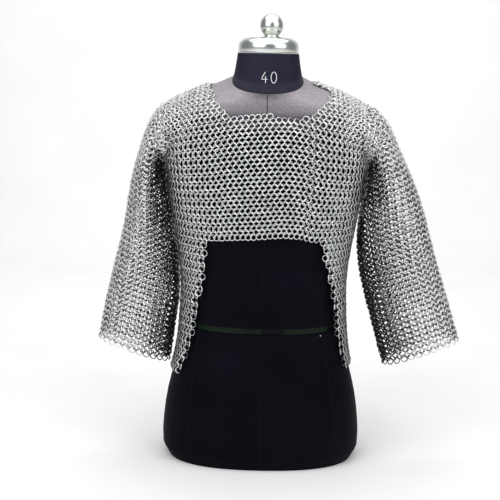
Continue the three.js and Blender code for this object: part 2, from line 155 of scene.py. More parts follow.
# Each section's skin ends this far inside its node.
SKIN_GAP = 0.0002
SKIN_STEP = 0.006
NECK_SKIN_STEP = 0.003
SKIN_SIDES = 144
SKIN_SOFTENING = 3

# The darkest and the lightest navy of the knit.
BODY_NAVY = ((0.0010, 0.0010, 0.0030), (0.0026, 0.0024, 0.0060))
NECK_NAVY = ((0.014, 0.013, 0.026), (0.030, 0.028, 0.048))
# The cover of the waist screw reaches this far to both sides of its middle.
COVER_MIDDLE = 0.020
COVER_REACH = 0.022

# The chrome cap and ball.
TURNED_SIDES = 64
CAP_EDGE = 0.001
CAP_ROUND = 0.022
CAP_SHOULDER = 0.017
CAP_STEPS = 14
BALL_FOOT_RADIUS = 0.015
BALL_FOOT_FILLET = 0.002
BALL_WAIST = 0.0015
BALL_ARC_START = -52
BALL_STEPS = 26
ARC_END = 89

# Raised threads, the painted number and the pin's head.
TUBE_SIDES = 6
# A direction that no thread runs along.
ASKEW = (0.13, 0.21, 0.97)
# Rays at the front of the form start here.
IN_FRONT_Y = -0.4
SEAM_POINTS = 48
SEAM_RADIUS = 0.0006
NECK_SEAM_RADIUS = SEAM_RADIUS * 1.3
SEAM_OUT = 0.0002
SEAM_END = 0.001
MARK_HEIGHT = 0.020
MARK_STROKE = 0.0007
MARK_PLACE = (0.0015, 0.7410)
MARK_STEPS = 5
PIN_PLACE = (0.1100, -0.002)
PIN_RADIUS = 0.0009
PIN_OUT = 0.0012

# The camera stands as high as the neck and looks a little down.
CAMERA_PLACE = (0.0, -2.1, 0.785)
CAMERA_PITCH = math.radians(10.15)
CAMERA_ROLL = math.radians(1.25)
FOCAL_PIXELS = 1100
IMAGE_PIXELS = 500
SENSOR_MM = 36
FRAME_SHIFT_PIXELS = 14.2

# The floor runs back level, sweeps up and ends as a wall.
FLOOR_FRONT = -3.0
FLOOR_HALF_WIDTH = 4.0
SWEEP_START = 1.8
SWEEP_RADIUS = 0.9
SWEEP_STEPS = 13
WALL_TOP = 4.5

WORLD_COLOUR = (0.93, 0.96, 1)
WORLD_STRENGTH = 0.30
# Each light's name, place, target, width and height, and watts.
LIGHTS = (
    ("top_light", (0.0, -0.6, 2.5), (0, 0, 0.5), (4.0, 3.0), 46),
    ("left_light", (-1.5, -2.0, 1.6), (0, 0, 0.5), (2.2, 2.0), 31),
    ("right_light", (1.8, -1.7, 1.4), (0, 0, 0.5), (2.0, 2.0), 24),
    ("backdrop_light", (0.0, 0.9, 2.4), (0, 2.5, 0.6), (2.4, 0.6), 22),
)

SLEEVE_NODES = ["mail_sleeve_" + side + half for side in ("left", "right") for half in ("_front", "_back")]
BODY_NODES = ["mail_front", "mail_back", "mail_tail_left", "mail_tail_right"]
MAIL_NODES = BODY_NODES + SLEEVE_NODES

random = np.random.default_rng(SEED)


# Rays at the frame's nodes

def tree_of(*nodes):
    points = []
    faces = []
    for node in nodes:
        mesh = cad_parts[node].data
        start = len(points)
        points.extend(vertex.co.copy() for vertex in mesh.vertices)
        faces.extend([start + index for index in face.vertices] for face in mesh.polygons)
    return BVHTree.FromPolygons(points, faces)


def hit(tree, origin, direction):
    """Where a ray meets the tree, and the surface's normal there, turned along the ray."""
    way = Vector(direction).normalized()
    place, normal, _, _ = tree.ray_cast(Vector(origin), way, 1.0)
    if place is None:
        return None
    if normal.dot(way) < 0:
        normal = -normal
    return place, normal


def cast_grid(tree, origins, directions):
    """Hits and normals of a grid of rays. Rays that meet nothing give NaN."""
    places = np.full(origins.shape, np.nan)
    normals = np.full(origins.shape, np.nan)
    for index in np.ndindex(origins.shape[:2]):
        if np.isnan(origins[index]).any():
            continue
        found = hit(tree, origins[index], directions[index])
        if found is not None:
            places[index], normals[index] = found
    return places, normals


# Grids of points

def unit(vectors):
    return vectors / np.linalg.norm(vectors, axis=-1, keepdims=True)


def turns_round(sides):
    """Evenly spaced angles round a circle."""
    return np.arange(sides) / sides * 2 * math.pi


def soften(grid, reach, axis, closed=False, most=math.inf):
    """The running mean of a grid along one axis, over pairs of cells on both sides that
    exist and lie no more than `most` apart for each step."""
    total = grid.copy()
    count = np.ones(grid.shape[:2] + (1,))
    length = grid.shape[axis]
    for step in range(1, reach + 1):
        before = np.roll(grid, step, axis)
        after = np.roll(grid, -step, axis)
        if not closed:
            ends = [slice(None)] * 2
            ends[axis] = slice(0, step)
            before[tuple(ends)] = np.nan
            ends[axis] = slice(length - step, length)
            after[tuple(ends)] = np.nan
        apart = np.linalg.norm(after - before, axis=-1, keepdims=True)
        good = apart < most * 2 * step
        total = np.where(good, total + before + after, total)
        count = count + 2 * good
    return total / count


def along(line, longest=math.inf):
    """The distance along a line of points, from its first one."""
    steps = np.linalg.norm(np.diff(line, axis=0), axis=1)
    return np.concatenate([[0], np.cumsum(np.minimum(steps, longest))])


def resample(line, distances, wanted):
    """Points on a line at the wanted distances, and NaN past its ends."""
    return np.stack(
        [np.interp(wanted, distances, line[:, k], left=np.nan, right=np.nan) for k in range(3)],
        axis=-1,
    )


def neighbour_step(grid, axis, closed):
    """From the neighbour before to the one after along an axis, one-sided at an edge."""
    before = grid - np.roll(grid, 1, axis)
    after = np.roll(grid, -1, axis) - grid
    if not closed:
        ends = [slice(None)] * 2
        ends[axis] = 0
        before[tuple(ends)] = np.nan
        ends[axis] = -1
        after[tuple(ends)] = np.nan
    return np.where(np.isnan(after), before, after) + np.where(np.isnan(before), after, before)


# Meshes from arrays

def mesh_object(name, vertices, quads):
    mesh = bpy.data.meshes.new(name)
    mesh.vertices.add(len(vertices))
    mesh.vertices.foreach_set("co", np.asarray(vertices, dtype=np.float32).ravel())
    mesh.loops.add(quads.size)
    mesh.loops.foreach_set("vertex_index", quads.astype(np.int32).ravel())
    mesh.polygons.add(len(quads))
    starts = np.arange(0, quads.size, quads.shape[1], dtype=np.int32)
    mesh.polygons.foreach_set("loop_start", starts)
    mesh.update(calc_edges=True)
    mesh.validate()
    mesh.shade_smooth()
    item = bpy.data.objects.new(name, mesh)
    bpy.context.scene.collection.objects.link(item)
    return item


def grid_quads(rows, columns, closed_columns):
    """Faces between neighbouring rows of a grid of points."""
    quads = []
    last = columns if closed_columns else columns - 1
    for row in range(rows - 1):
        for column in range(last):
            beside = (column + 1) % columns
            quads.append((
                row * columns + column,
                row * columns + beside,
                (row + 1) * columns + beside,
                (row + 1) * columns + column,
            ))
    return np.array(quads)


def close_ends(item):
    """Flat faces over a tube's open ends, with sharp rims."""
    work = bmesh.new()
    work.from_mesh(item.data)
    rims = [edge for edge in work.edges if edge.is_boundary]
    for edge in rims:
        edge.smooth = False
    bmesh.ops.holes_fill(work, edges=rims)
    bmesh.ops.recalc_face_normals(work, faces=work.faces)
    work.to_mesh(item.data)
    work.free()


def tube(name, line, radius, closed=False):
    """A round cord along a line of points."""
    line = np.asarray(line, dtype=float)
    way = np.gradient(line, axis=0)
    if closed:
        way = np.roll(line, -1, 0) - np.roll(line, 1, 0)
    way = unit(way)
    side = unit(np.cross(way, np.array(ASKEW)))
    up = np.cross(side, way)
    turns = turns_round(TUBE_SIDES)[None, :, None]
    ring = np.cos(turns) * side[:, None] + np.sin(turns) * up[:, None]
    points = (line[:, None] + radius * ring).reshape(-1, 3)
    quads = grid_quads(len(line), TUBE_SIDES, True)
    if closed:
        last = (len(line) - 1) * TUBE_SIDES
        here = np.arange(TUBE_SIDES)
        beside = (here + 1) % TUBE_SIDES
        quads = np.vstack([quads, np.stack([last + here, last + beside, beside, here], axis=1)])
    item = mesh_object(name, points, quads)
    if not closed:
        close_ends(item)
    return item


# Materials

def new_material(name):
    material = bpy.data.materials.new(name)
    material.use_nodes = True
    shader = material.node_tree.nodes["Principled BSDF"]
    return material, material.node_tree, shader


def add_node(tree, kind, **values):
    node = tree.nodes.new(kind)
    for key, value in values.items():
        socket = node.inputs.get(key)
        if socket is not None:
            socket.default_value = value
        else:
            setattr(node, key, value)
    return node


def noise(tree, scale, detail):
    """Cloudy values of 0 to 1, about `scale` clouds to a metre."""
    place = add_node(tree, "ShaderNodeTexCoord")
    texture = add_node(tree, "ShaderNodeTexNoise", Scale=scale, Detail=detail)
    tree.links.new(place.outputs["Object"], texture.inputs["Vector"])
    return texture.outputs["Fac"]


def ramp(tree, source, stops):
    """A colour that runs between two stops, each a place and a colour."""
    node = add_node(tree, "ShaderNodeValToRGB")
    for element, (position, colour) in zip(node.color_ramp.elements, stops):
        element.position = position
        element.color = (*colour, 1)
    tree.links.new(source, node.inputs["Fac"])
    return node.outputs["Color"]


def map_range(tree, source, low, high, from_low=0.0, from_high=1.0):
    """A value of 0 to 1, or of the named range, turned into one from low to high."""
    node = add_node(tree, "ShaderNodeMapRange")
    node.inputs["From Min"].default_value = from_low
    node.inputs["From Max"].default_value = from_high
    node.inputs["To Min"].default_value = low
    node.inputs["To Max"].default_value = high
    tree.links.new(source, node.inputs["Value"])
    return node.outputs["Result"]


def mix_colours(tree, share, first, second):
    """Between two colour sockets, by a share from 0 to 1."""
    node = add_node(tree, "ShaderNodeMix", data_type="RGBA")
    tree.links.new(share, node.inputs[0])
    tree.links.new(first, node.inputs[6])
    tree.links.new(second, node.inputs[7])
    return node.outputs[2]


def bump(tree, shader, source, strength, distance):
    """A relief from a value of 0 to 1, over a height in metres."""
    node = add_node(tree, "ShaderNodeBump", Strength=strength, Distance=distance)
    tree.links.new(source, node.inputs["Height"])
    tree.links.new(node.outputs["Normal"], shader.inputs["Normal"])


def mail_material():
    """Steel wire in a lit and a painted-shade colour: dark on the side that faces into the cloth, and where a
    sleeve and the body face each other.
    """
    material, tree, shader = new_material("mail_steel")
    shader.inputs["Metallic"].default_value = 1.0
    patches = noise(tree, 55, 2)
    lit_steel = ramp(tree, patches, [(0.3, (0.72, 0.73, 0.73)), (0.7, (0.95, 0.95, 0.94))])
    # The dark colour is painted shade, and the attribute gives how much of it each point gets.
    shaded_steel = ramp(tree, patches, [(0.3, (0.012, 0.013, 0.014)), (0.7, (0.035, 0.037, 0.038))])
    facing = add_node(tree, "ShaderNodeAttribute", attribute_name="painted_light_share")
    share = map_range(tree, facing.outputs["Fac"], 0, 1, 0.38, 0.58)
    tree.links.new(mix_colours(tree, share, shaded_steel, lit_steel), shader.inputs["Base Color"])
    fine = noise(tree, 260, 3)
    tree.links.new(map_range(tree, fine, 0.18, 0.42), shader.inputs["Roughness"])
    bump(tree, shader, noise(tree, 900, 2), 0.25, 0.0002)
    return material


def jersey_material(name, navy, sheen_rise):
    """Navy-black knit, with a lighter painted sheen on upward faces of the shoulders and at the foot of the
    neck.
    """
    material, tree, shader = new_material(name)
    cloud = noise(tree, 9, 4)
    dark = ramp(tree, cloud, [(0.35, navy[0]), (0.7, navy[1])])
    fleck = noise(tree, 420, 3)
    # The lighter colour is painted sheen, laid on faces that look up.
    painted_sheen = ramp(tree, fleck, [(0.3, (0.24, 0.21, 0.24)), (0.7, (0.42, 0.39, 0.41))])
    normal = add_node(tree, "ShaderNodeNewGeometry")
    split = add_node(tree, "ShaderNodeSeparateXYZ")
    tree.links.new(normal.outputs["Normal"], split.inputs[0])
    upward = map_range(tree, split.outputs["Z"], 0, 1, *sheen_rise)
    place = add_node(tree, "ShaderNodeTexCoord")
    where = add_node(tree, "ShaderNodeSeparateXYZ")
    tree.links.new(place.outputs["Object"], where.inputs[0])
    shoulders = map_range(tree, where.outputs["Z"], 0, 1, 0.60, 0.66)
    # The share of painted sheen: upward faces, on the shoulders and above.
    worn = add_node(tree, "ShaderNodeMath", operation="MULTIPLY")
    tree.links.new(upward, worn.inputs[0])
    tree.links.new(shoulders, worn.inputs[1])
    tree.links.new(mix_colours(tree, worn.outputs[0], dark, painted_sheen), shader.inputs["Base Color"])
    tree.links.new(map_range(tree, noise(tree, 60, 3), 0.6, 0.8), shader.inputs["Roughness"])
    shader.inputs["Specular IOR Level"].default_value = 0.05
    shader.inputs["Sheen Weight"].default_value = 0.02
    shader.inputs["Sheen Roughness"].default_value = 0.35
    shader.inputs["Sheen Tint"].default_value = (0.75, 0.72, 0.95, 1)
    knit = add_node(tree, "ShaderNodeTexWave", Scale=160, Distortion=1.2, Detail=1.0)
    knit.bands_direction = "Z"
    tree.links.new(place.outputs["Object"], knit.inputs["Vector"])
    bump(tree, shader, knit.outputs["Fac"], 0.2, 0.0004)
    return material


def seam_material():
    """Thread and folded edge."""
    material, tree, shader = new_material("seam")
    colour = ramp(tree, noise(tree, 300, 3), [(0.3, (0.002, 0.002, 0.004)), (0.7, (0.006, 0.006, 0.010))])
    tree.links.new(colour, shader.inputs["Base Color"])
    shader.inputs["Specular IOR Level"].default_value = 0.1
    tree.links.new(map_range(tree, noise(tree, 90, 3), 0.5, 0.75), shader.inputs["Roughness"])
    return material


def band_material():
    """Dark green, with the darker cover of the waist screw at the middle of the front."""
    material, tree, shader = new_material("band")
    cloud = noise(tree, 25, 4)
    green = ramp(tree, cloud, [(0.35, (0.004, 0.011, 0.005)), (0.7, (0.009, 0.024, 0.010))])
    black = ramp(tree, cloud, [(0.35, (0.001, 0.001, 0.002)), (0.7, (0.002, 0.002, 0.004))])
    shader.inputs["Specular IOR Level"].default_value = 0.15
    place = add_node(tree, "ShaderNodeTexCoord")
    split = add_node(tree, "ShaderNodeSeparateXYZ")
    tree.links.new(place.outputs["Object"], split.inputs[0])
    cover = add_node(tree, "ShaderNodeMath", operation="COMPARE")
    cover.inputs[1].default_value = COVER_MIDDLE
    cover.inputs[2].default_value = COVER_REACH
    tree.links.new(split.outputs["X"], cover.inputs[0])
    tree.links.new(mix_colours(tree, cover.outputs[0], green, black), shader.inputs["Base Color"])
    tree.links.new(map_range(tree, noise(tree, 90, 3), 0.4, 0.7), shader.inputs["Roughness"])
    bump(tree, shader, noise(tree, 700, 2), 0.3, 0.0003)
    return material


def chrome_material():
    material, tree, shader = new_material("chrome")
    shader.inputs["Metallic"].default_value = 1.0
    colour = ramp(tree, noise(tree, 14, 3), [(0.3, (0.60, 0.63, 0.58)), (0.7, (0.76, 0.78, 0.76))])
    tree.links.new(colour, shader.inputs["Base Color"])
    tree.links.new(map_range(tree, noise(tree, 40, 4), 0.16, 0.26), shader.inputs["Roughness"])
    return material


def paint_material():
    """White marking paint, a little uneven."""
    material, tree, shader = new_material("marking")
    colour = ramp(tree, noise(tree, 240, 3), [(0.3, (0.62, 0.66, 0.68)), (0.7, (0.88, 0.90, 0.90))])
    tree.links.new(colour, shader.inputs["Base Color"])
    tree.links.new(map_range(tree, noise(tree, 120, 3), 0.5, 0.8), shader.inputs["Roughness"])
    return material


def paint(item, material):
    item.data.materials.clear()
    item.data.materials.append(material)


# Mail

def ring_template():
    """A ring about Z: its points, its normals at them, and its faces."""
    around = turns_round(RING_SIDES)
    section = turns_round(WIRE_SIDES)
    ways = np.stack([
        np.outer(np.cos(around), np.cos(section)),
        np.outer(np.sin(around), np.cos(section)),
        np.tile(np.sin(section), (RING_SIDES, 1)),
    ], axis=-1).reshape(-1, 3)
    middle = np.stack([np.cos(around), np.sin(around), np.zeros(RING_SIDES)], axis=-1)
    middle = np.repeat(middle * RING_RADIUS, WIRE_SIDES, axis=0)
    quads = []
    for i in range(RING_SIDES):
        for j in range(WIRE_SIDES):
            ahead = (i + 1) % RING_SIDES
            beside = (j + 1) % WIRE_SIDES
            quads.append((
                i * WIRE_SIDES + j,
                ahead * WIRE_SIDES + j,
                ahead * WIRE_SIDES + beside,
                i * WIRE_SIDES + beside,
            ))
    return middle + ways * WIRE_CORNER, ways, np.array(quads)


def painted_light_share(sleeve, centres, outs, offsets, normals):
    """Painted light on each point of each ring, from 0 to 1, by how far it faces out of the cloth; painted
    shade where the sleeve and the body's side face each other, and over a sleeve below the shoulder."""
    # Painted shade on the side of each ring that faces into the cloth.
    depth = np.einsum("nki,ni->nk", offsets, outs) / (2 * HALF_MAIL)
    turned = np.einsum("nki,ni->nk", normals, outs) / 2
    facing = np.clip(0.5 + (depth + turned) / 2, 0, 1)
    start, most = SLEEVE_PAINTED_SHADE if sleeve else BODY_PAINTED_SHADE
    towards = outs[:, 0] * np.sign(centres[:, 0]) * (-1 if sleeve else 1)
    low, high = PAINTED_SHADE_LEVELS
    below = np.clip((high - centres[:, 2]) / (high - low), 0, 1)
    painted_shade = np.clip((towards - start) / (1 - start), 0, 1) * below
    # Painted shade between a sleeve and the body's side, and over a sleeve below the shoulder.
    facing *= 1 - most * painted_shade[:, None]
    if sleeve:
        facing *= 1 - (1 - SLEEVE_PAINTED_LIGHT) * below[:, None]
    return facing


class Mail:
    """Collects rings panel by panel, leaving out those that have no room."""

    def __init__(self, panels):
        self.trees = {panel: tree_of(panel) for panel in panels}
        self.rings = []

    def panel_at(self, place, out):
        """The panel whose wall lies at a place."""
        start = Vector(place - out * WALL_REACH)
        for panel, tree in self.trees.items():
            if tree.ray_cast(start, Vector(out), 2 * WALL_REACH)[0] is not None:
                return panel
        return None

    def panel_near(self, place, out, aside):
        """As panel_at, but a ray that slips through a seam gets a second try."""
        return self.panel_at(place, out) or self.panel_at(place + aside * PAST_SEAM, out)

    def fits(self, centre, out, row_way, across):
        """Whether there is cloth all round a ring's middle."""
        for way in (row_way, -row_way, across, -across):
            if self.panel_near(centre + way * FIT_REACH, out, row_way + across) is None:
                return False
        return True

    def add(self, places, closed_rows, closed_steps):
        """Rings on a grid of places, rows by half steps, wherever there is cloth."""
        row_ways = unit(neighbour_step(places, 1, closed_steps))
        outs = unit(np.cross(row_ways, neighbour_step(places, 0, closed_rows)))
        acrosses = np.cross(outs, row_ways)
        taken = KDTree(len(self.rings))
        for index, ring in enumerate(self.rings):
            taken.insert(Vector(ring["centre"]), index)
        taken.balance()
        for row in range(places.shape[0]):
            for half in range(row % 2, places.shape[1], 2):
                centre = places[row, half]
                out = outs[row, half]
                if np.isnan(centre).any() or np.isnan(out).any():
                    continue
                row_way = row_ways[row, half]
                across = acrosses[row, half]
                panel = self.panel_near(centre, out, row_way + across)
                if panel is None or not self.fits(centre, out, row_way, across):
                    continue
                distance = taken.find(Vector(centre))[2]
                if distance is not None and distance < LEAST_APART:
                    continue
                lean = RING_LEAN if row % 2 else -RING_LEAN
                lean += random.normal(0, STRAY_LEAN)
                tilt = random.normal(0, STRAY_TILT)
                width = row_way * math.cos(lean) + out * math.sin(lean)
                height = across * math.cos(tilt) + np.cross(width, across) * math.sin(tilt)
                self.rings.append({
                    "panel": panel,
                    "centre": centre + random.normal(0, STRAY_PLACE, 3),
                    "axes": np.stack([width, height, np.cross(width, height)], axis=1),
                    "out": out,
                })

    def build(self, panel, material):
        """The panel's rings as one piece, or as several from the top down."""
        chosen = [ring for ring in self.rings if ring["panel"] == panel]
        chosen.sort(key=lambda ring: -ring["centre"][2])
        count = math.ceil(len(chosen) / MOST_RINGS_IN_A_PIECE)
        size = math.ceil(len(chosen) / count)
        template, ways, quads = ring_template()
        for number in range(count):
            part = chosen[number * size:(number + 1) * size]
            centres = np.array([ring["centre"] for ring in part])
            axes = np.array([ring["axes"] for ring in part])
            outs = np.array([ring["out"] for ring in part])
            offsets = np.einsum("nij,kj->nki", axes, template)
            normals = np.einsum("nij,kj->nki", axes, ways)
            points = offsets + centres[:, None, :]
            # Each ring's painted light and shade, kept on its points for the steel's colour.
            facing = painted_light_share("sleeve" in panel, centres, outs, offsets, normals)
            faces = quads[None] + (np.arange(len(part)) * len(template))[:, None, None]
            name = panel + "_rings" + ("abcdef"[number] if count > 1 else "")
            item = mesh_object(name, points.reshape(-1, 3), faces.reshape(-1, 4))
            mark = item.data.attributes.new("painted_light_share", "FLOAT", "POINT")
            mark.data.foreach_set("value", facing.astype(np.float32).ravel())
            paint(item, material)
            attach(item, "root")
            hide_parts(panel)
        print(panel, len(chosen), "rings")


# The shirt's body

def even_directions(form, levels):
    """Ways out from the axis at each level that share out the girth evenly by half steps,
    from the middle of the front round to the right."""
    turns = np.arange(0, 2 * math.pi, GIRTH_TURN) - math.pi / 2
    loops = []
    for level in levels:
        found = [hit(form, (0, AXIS_Y, level), (math.cos(turn), math.sin(turn), 0)) for turn in turns]
        whole = all(found)
        loop = np.array([place for place, _ in found + found[:1]]) if whole else None
        loops.append(loop)
    girth = max(along(loop)[-1] for loop in loops if loop is not None)
    girth += 2 * math.pi * (HALF_MAIL + FORM_CLEARANCE)
    steps = 4 * round(girth / RING_STEP / 2)
    shares = np.arange(steps) / steps
    rays = np.full((len(levels), steps), np.nan)
    for row, loop in enumerate(loops):
        if loop is None:
            continue
        length = along(loop)
        x = np.interp(shares * length[-1], length, loop[:, 0])
        y = np.interp(shares * length[-1], length, loop[:, 1])
        rays[row] = np.unwrap(np.arctan2(y - AXIS_Y, x))
    known = ~np.isnan(rays[:, 0])
    for column in range(steps):
        rays[:, column] = np.interp(levels, levels[known], rays[known, column])
    return np.stack([np.cos(rays), np.sin(rays), np.zeros_like(rays)], axis=-1)


def ease_at(form, levels):
    """How far the mail hangs off the form, measured at the middle of the back."""
    back = tree_of("mail_back")
    ease = np.full(len(levels), np.nan)
    for index, level in enumerate(levels):
        skin = hit(form, (0, AXIS_Y, level), (0, 1, 0))
        wall = hit(back, (0, AXIS_Y, level), (0, 1, 0))
        if skin and wall and wall[0].y - skin[0].y < MOST_EASE:
            ease[index] = wall[0].y - skin[0].y
    known = ~np.isnan(ease)
    return np.interp(levels, levels[known], ease[known])


def inner_face(mail, form, origins, directions, ease):
    """The inside of the mail along a grid of rays, or where it would hang on the form."""
    places, normals = cast_grid(mail, origins, directions)
    skin, skin_normals = cast_grid(form, origins, directions)
    skin = skin + skin_normals * ease[:, None, None]
    missing = np.isnan(places)
    return np.where(missing, skin, places), np.where(missing, skin_normals, normals)


def fill_gaps(grid, levels):
    """Straight across the waist band's gap, where the rays meet nothing."""
    for column in range(grid.shape[1]):
        known = ~np.isnan(grid[:, column, 0])
        for k in range(3):
            grid[:, column, k] = np.interp(levels, levels[known], grid[known, column, k])


def hem_heights():
    """The height of the front panel's hem at a place across it."""
    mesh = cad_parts["mail_front"].data
    points = np.array([vertex.co for vertex in mesh.vertices])
    edge = points[points[:, 2] < HEM_TOP_LEVEL]
    places = np.linspace(edge[:, 0].min(), edge[:, 0].max(), HEM_PLACES)
    reach = places[1] - places[0]
    heights = np.full(len(places), np.nan)
    for index, place in enumerate(places):
        near = np.abs(edge[:, 0] - place) < reach
        if near.any():
            heights[index] = edge[near, 2].min()
    known = ~np.isnan(heights)
    return places[known], heights[known]


def body_surface():
    """The middle of the mail's thickness in columns by half steps round the body, from the
    lowest level up and over the shoulder, and which columns are in front."""
    form = tree_of("form_lower", "form_upper")
    levels = np.arange(LOWEST_LEVEL, SPLIT_LEVEL + LEVEL_STEP / 2, LEVEL_STEP)
    directions = even_directions(form, levels)
    steps = directions.shape[1]
    origins = np.zeros_like(directions)
    origins[..., 1] = AXIS_Y
    origins[..., 2] = levels[:, None]
    hanging = tree_of(*BODY_NODES)
    places, normals = inner_face(hanging, form, origins, directions, ease_at(form, levels))
    fill_gaps(places, levels)
    fill_gaps(normals, levels)

    angles = np.arange(FAN_STEP, FAN_END, FAN_STEP)
    facing = np.where(directions[-1, :, 1] < 0, -1.0, 1.0)
    across = places[-1, :, 0]
    fan_origins = np.zeros((len(angles), steps, 3))
    fan_origins[..., 0] = np.where(np.abs(across) < SHOULDER_REACH, across, np.nan)
    fan_origins[..., 1] = AXIS_Y
    fan_origins[..., 2] = SPLIT_LEVEL
    fan_directions = np.zeros_like(fan_origins)
    fan_directions[..., 1] = facing * np.cos(angles)[:, None]
    fan_directions[..., 2] = np.sin(angles)[:, None]
    worn = tree_of("mail_front", "mail_back", *SLEEVE_NODES)
    top = inner_face(worn, form, fan_origins, fan_directions, np.full(len(angles), FORM_CLEARANCE))
    places = np.concatenate([places, top[0]])
    normals = np.concatenate([normals, top[1]])
    for axis, reach in BODY_SOFTENING:
        places = soften(places, reach, axis, closed=axis == 1, most=LONGEST_STEP)
        normals = unit(soften(normals, reach, axis, closed=axis == 1))
    return places + normals * HALF_MAIL, facing < 0


def body_lattice():
    """Places for the rings of front, back and tails: rows from the hem up, by half steps round."""
    middle, in_front = body_surface()
    steps = middle.shape[1]
    hem_places, hem_levels = hem_heights()
    low_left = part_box("mail_tail_left")[0][2]
    low_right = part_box("mail_tail_right")[0][2]
    below = np.arange(ROWS_BELOW_CORNER) / ROWS_BELOW_CORNER
    above = np.arange(ROWS_ABOVE_CORNER)
    lattice = np.full((ROWS_BELOW_CORNER + ROWS_ABOVE_CORNER, steps, 3), np.nan)
    for column in range(steps):
        line = middle[:, column]
        line = line[~np.isnan(line[:, 0])]
        distance = along(line, LONGEST_STEP)
        straight = line[:, 2] <= SPLIT_LEVEL
        heights = line[straight, 2]
        x = float(np.interp(CORNER_LEVEL, heights, line[straight, 0]))
        start = CORNER_LEVEL
        if in_front[column]:
            start = np.interp(x, hem_places, hem_levels, left=CORNER_LEVEL, right=CORNER_LEVEL)
        share = (x / HIP_HALF_WIDTH + 1) / 2
        low = low_left * (1 - share) + low_right * share
        start_at = float(np.interp(start, heights, distance[straight])) + RING_OUTSIDE
        low_at = float(np.interp(low, heights, distance[straight])) + RING_OUTSIDE
        side = min(abs(x) / SIDE, 1) ** 2
        row_step = ROW_STEP * (1 + CENTRE_STRETCH - SIDE_SQUEEZE * side)
        rows = np.concatenate([low_at + (start_at - low_at) * below, start_at + row_step * above])
        lattice[:, column] = resample(line, distance, rows)
    return lattice


# The sleeves

def sleeve_surface(side):
    """The middle of the mail's thickness round a sleeve, from the shoulder to the cuff."""
    sign = 1.0 if side == "right" else -1.0
    wall = tree_of("mail_sleeve_" + side + "_front", "mail_sleeve_" + side + "_back")
    planes = np.array(SLEEVE_PLANES[side])
    share = along(planes[:, :2])
    wanted = np.linspace(0, share[-1], SLEEVE_SAMPLES)
    x, z, rise = (np.interp(wanted, share, planes[:, k]) for k in range(3))
    rise = np.radians(rise)
    turns = np.arange(SLEEVE_TURNS) * 2 * math.pi / SLEEVE_TURNS
    origins = np.zeros((SLEEVE_TURNS, SLEEVE_SAMPLES, 3))
    origins[..., 0] = sign * x
    origins[..., 1] = AXIS_Y
    origins[..., 2] = z
    directions = np.zeros_like(origins)
    directions[..., 0] = np.outer(np.cos(turns), sign * np.cos(rise))
    directions[..., 1] = -np.sin(turns)[:, None]
    directions[..., 2] = np.outer(np.cos(turns), np.sin(rise))
    skin, normals = cast_grid(wall, origins, directions)

    # The seams between the halves are gaps that a ray can slip through.
    for grid in (skin, normals):
        for row in (0, SLEEVE_TURNS // 2):
            mean = (grid[row - 1] + grid[row + 1]) / 2
            grid[row] = np.where(np.isnan(grid[row]), mean, grid[row])
    for axis, reach in SLEEVE_SOFTENING:
        skin = soften(skin, reach, axis, closed=axis == 0, most=SLEEVE_LONGEST_STEP)
        normals = unit(soften(normals, reach, axis, closed=axis == 0))
    middle = skin + normals * HALF_MAIL
    round_turn = np.exp(-((turns - SWELL_TURN) / SWELL_WIDTH) ** 2)[:, None]
    low, high = SWELL_LEVELS[side]
    near_body = np.clip((middle[..., 2] - low) / (high - low), 0, 1)
    middle[..., 0] -= sign * SWELL[side] * round_turn * near_body
    return middle


def sleeve_lines(middle, shares):
    """Lines along a sleeve at shares of its girth, which follow on past where it is whole."""
    lines = np.full((SLEEVE_ROWS, SLEEVE_SAMPLES, 3), np.nan)
    held = None
    for sample in range(SLEEVE_SAMPLES - 1, -1, -1):
        loop = middle[:, sample]
        closed = np.vstack([loop, loop[:1]])
        if not np.isnan(closed).any():
            length = along(closed)
            held = np.interp(shares * length[-1], length, np.arange(SLEEVE_TURNS + 1))
        if held is None:
            continue
        low = np.floor(held).astype(int)
        part = (held - low)[:, None]
        high = np.minimum(low + 1, SLEEVE_TURNS)
        lines[:, sample] = closed[low] * (1 - part) + closed[high] * part
    return lines


def sleeve_lattice(side):
    """Places for a sleeve's rings: rows round it, by half steps up from the cuff."""
    # From half a row on, so that the rings of the back don't hang right behind the front's.
    shares = (np.arange(SLEEVE_ROWS) + 0.5) / SLEEVE_ROWS
    lines = sleeve_lines(sleeve_surface(side), shares)
    count = int(SLEEVE_LENGTH / RING_STEP * 2)
    places = np.full((SLEEVE_ROWS, count, 3), np.nan)
    wanted = RING_OUTSIDE + np.arange(count) * RING_STEP / 2
    for row in range(SLEEVE_ROWS):
        line = lines[row][::-1]
        line = line[~np.isnan(line[:, 0])]
        shift = SLEEVE_SHIFT / 2 * math.sin(2 * math.pi * shares[row]) * RING_STEP
        places[row] = resample(line, along(line), wanted + SLEEVE_SHIFT / 2 * RING_STEP + shift)
    # The left sleeve is the other way round, so that its rings also face outwards.
    return places if side == "right" else places[::-1]


# The dress form

def form_skin(name, node, low, high, low_lean=0.0, high_lean=0.0, level_step=SKIN_STEP):
    """A smooth closed skin over a section of the form, from level to level. Its ends may lean,
    by so much up for each metre back."""
    form = tree_of(node)
    count = max(3, round((high - low) / level_step))
    share = np.linspace(0, 1, count + 1)
    levels = low + (high - low) * share
    leans = low_lean + (high_lean - low_lean) * share ** 3
    turns = turns_round(SKIN_SIDES)
    origins = np.zeros((count + 1, SKIN_SIDES, 3))
    origins[..., 1] = AXIS_Y
    origins[..., 2] = levels[:, None]
    directions = np.zeros_like(origins)
    directions[..., 0] = np.cos(turns)
    directions[..., 1] = np.sin(turns)
    directions[..., 2] = leans[:, None] * np.sin(turns)
    skin, _ = cast_grid(form, origins, directions)
    skin = soften(skin, SKIN_SOFTENING, 1, closed=True)
    item = mesh_object(name, skin.reshape(-1, 3), grid_quads(count + 1, SKIN_SIDES, True))
    close_ends(item)
    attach(item, "root")
    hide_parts(node)
    return item, skin


